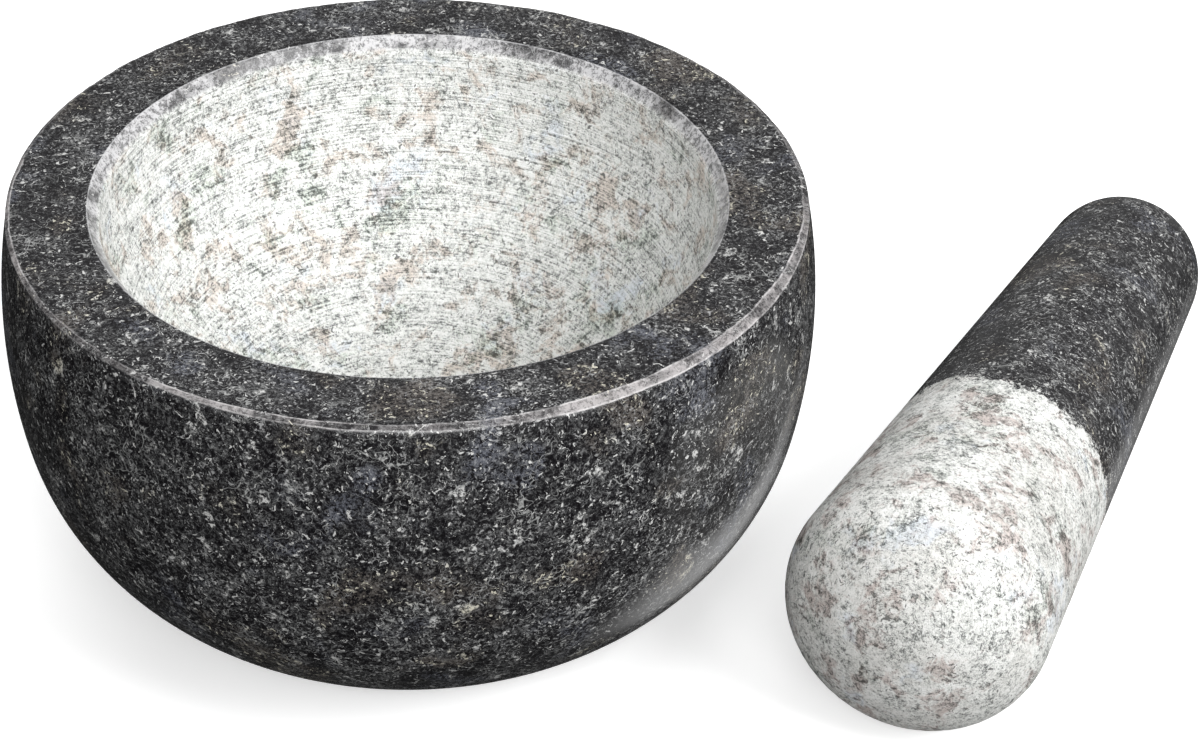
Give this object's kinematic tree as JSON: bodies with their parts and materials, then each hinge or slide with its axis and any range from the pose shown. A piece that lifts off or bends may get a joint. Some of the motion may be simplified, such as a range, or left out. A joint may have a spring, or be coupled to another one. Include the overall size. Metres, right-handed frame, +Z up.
{
  "type": "mortar and pestle",
  "caption": "Round polished dark granite mortar with a flat rim, rough ground bowl and flat base, and a loose tapered pestle with a rough domed working end and a polished grip.",
  "frame": {"origin": "centre of the mortar's flat base, on the table", "axes": "+Z up through the mortar's mouth; +X towards the side on which the pestle lies; +Y away from the pestle's working end"},
  "size_m": [0.2535, 0.1649, 0.084],
  "materials": {
    "mortar_stone": "polished outside, rough ground bowl",
    "pestle_stone": "polished grip, rough ground working end"
  },
  "bodies": {
    "mortar": {"mortar": "mortar_stone"},
    "pestle": {"pestle": "pestle_stone"}
  },
  "joints": [
    {"name": "pestle_lift", "type": "slide", "parent": "mortar", "child": "pestle", "axis": [0, 0, 1], "range_m": [0, 0.12]}
  ]
}
